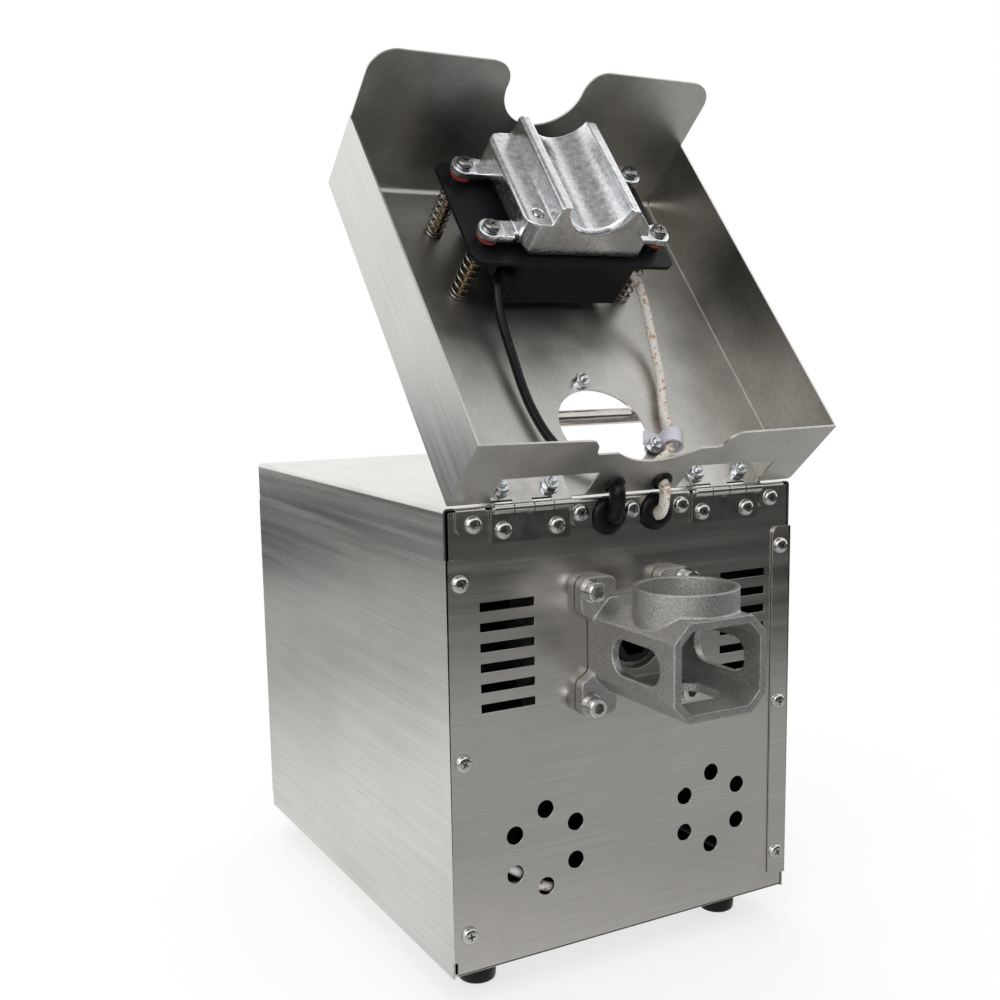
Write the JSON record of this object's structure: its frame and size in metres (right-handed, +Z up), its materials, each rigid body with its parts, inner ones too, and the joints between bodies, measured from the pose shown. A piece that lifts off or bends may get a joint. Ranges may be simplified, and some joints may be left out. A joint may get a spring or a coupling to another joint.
{
  "type": "screw oil press",
  "caption": "Tabletop screw oil press: steel case, cast feed throat, geared motor drive and a hinged hood with a sprung heater block, shown open.",
  "frame": {"origin": "centre of the bounding box's base, on the surface that the feet stand on, with the hood open", "axes": "+Z up; -Y towards the feed throat and the front panel; +X to the viewer's right when facing the front"},
  "size_m": [0.2, 0.3454, 0.4507],
  "materials": {
    "black_plastic": "moulded black plastic",
    "black_powder_coat": "black powder coat",
    "black_rubber": "matt moulded rubber",
    "black_vinyl": "glossy black sleeving",
    "blasted_cast_aluminium": "grainy shot-blasted casting",
    "brushed_stainless": "brushed stainless sheet, fine straight grain",
    "gear_bronze": "machined bronze",
    "gear_steel": "machined steel",
    "glass_braid": "white glass braid with orange tracer",
    "mica_heater": "mica-insulated plate",
    "milky_nylon": "milky nylon",
    "plated_steel": "bright zinc-plated or polished steel",
    "red_fibre": "red vulcanised fibre",
    "red_key": "red moulded key",
    "satin_stainless": "satin stainless sheet with handling smudges",
    "spring_steel": "drawn spring wire",
    "tumbled_cast_aluminium": "bright tumbled casting, slightly lumpy"
  },
  "bodies": {
    "chassis": {"carrying_handle": "plated_steel", "chassis_tray": "brushed_stainless", "drive_bearing": "plated_steel", "feed_throat": "blasted_cast_aluminium", "foot_front_left": "black_rubber", "foot_front_right": "black_rubber", "foot_rear_left": "black_rubber", "foot_rear_right": "black_rubber", "gearbox_front_housing": "tumbled_cast_aluminium", "gearbox_rear_housing": "tumbled_cast_aluminium", "heater_switch_housing": "black_plastic", "hinge_lower_leaf_left": "plated_steel", "hinge_lower_leaf_right": "plated_steel", "hinge_pin_left": "plated_steel", "hinge_pin_right": "plated_steel", "motor_can": "gear_steel", "motor_end_cap": "gear_steel", "motor_switch_housing": "black_plastic", "outer_cover": "brushed_stainless", "panel_grommet_left": "black_rubber", "panel_grommet_right": "black_rubber", "power_inlet": "black_plastic", "throat_screw_lower_left": "plated_steel", "throat_screw_lower_right": "plated_steel", "throat_screw_upper_left": "plated_steel", "throat_screw_upper_right": "plated_steel"},
    "hood": {"cable_clip": "milky_nylon", "carriage_spring_far_left": "spring_steel", "carriage_spring_far_right": "spring_steel", "carriage_spring_near_left": "spring_steel", "carriage_spring_near_right": "spring_steel", "heater_lead": "black_vinyl", "hinge_upper_leaf_left": "plated_steel", "hinge_upper_leaf_right": "plated_steel", "hood_far_wall": "satin_stainless", "hood_grommet_left": "black_rubber", "hood_grommet_right": "black_rubber", "hood_near_wall": "satin_stainless", "hood_shell": "satin_stainless", "sensor_lead": "glass_braid"},
    "heater_carriage": {"carriage_screw_far_left": "plated_steel", "carriage_screw_far_right": "plated_steel", "carriage_screw_near_left": "plated_steel", "carriage_screw_near_right": "plated_steel", "fibre_washer_far_left": "red_fibre", "fibre_washer_far_right": "red_fibre", "fibre_washer_near_left": "red_fibre", "fibre_washer_near_right": "red_fibre", "heater_block": "tumbled_cast_aluminium", "heater_bracket": "black_powder_coat", "heating_element": "mica_heater", "insulation_box": "black_powder_coat"},
    "drive": {"drive_gear": "gear_steel", "drive_shaft": "gear_steel"},
    "countershaft": {"countershaft_gear": "gear_bronze", "countershaft_pinion": "gear_steel"},
    "motor_rotor": {"motor_fan": "black_plastic", "motor_rotor": "gear_steel"},
    "motor_key": {"motor_switch_rocker": "red_key"},
    "heater_key": {"heater_switch_rocker": "red_key"}
  },
  "joints": [
    {"name": "hood_hinge", "type": "hinge", "parent": "chassis", "child": "hood", "pos_m": [0, -0.10404, 0.2384], "axis": [1, 0, 0], "range_deg": [0, 130.5], "deforming": ["heater_lead", "sensor_lead"]},
    {"name": "heater_slide", "type": "slide", "parent": "hood", "child": "heater_carriage", "axis": [0, 0.7604, -0.6494], "range_m": [0, 0.005], "stiffness_N_per_m": 4000, "springref_m": -0.004, "deforming": ["carriage_spring_far_left", "carriage_spring_far_right", "carriage_spring_near_left", "carriage_spring_near_right", "heater_lead", "sensor_lead"]},
    {"name": "drive_spin", "type": "hinge", "parent": "chassis", "child": "drive", "pos_m": [0, -0.10124, 0.1684], "axis": [0, 1, 0], "continuous": true},
    {"name": "countershaft_spin", "type": "hinge", "parent": "chassis", "child": "countershaft", "pos_m": [0.024, -0.10124, 0.12683], "axis": [0, 1, 0], "continuous": true},
    {"name": "motor_spin", "type": "hinge", "parent": "chassis", "child": "motor_rotor", "pos_m": [0, -0.10124, 0.10883], "axis": [0, 1, 0], "continuous": true},
    {"name": "motor_key_tilt", "type": "hinge", "parent": "chassis", "child": "motor_key", "pos_m": [0.028, 0.16296, 0.192], "axis": [1, 0, 0], "range_deg": [-10, 10]},
    {"name": "heater_key_tilt", "type": "hinge", "parent": "chassis", "child": "heater_key", "pos_m": [-0.028, 0.16296, 0.192], "axis": [1, 0, 0], "range_deg": [-20, 0]}
  ],
  "couplings": [
    {"joint": "countershaft_spin", "follows": "drive_spin", "ratio": -3},
    {"joint": "motor_spin", "follows": "drive_spin", "ratio": 12}
  ]
}
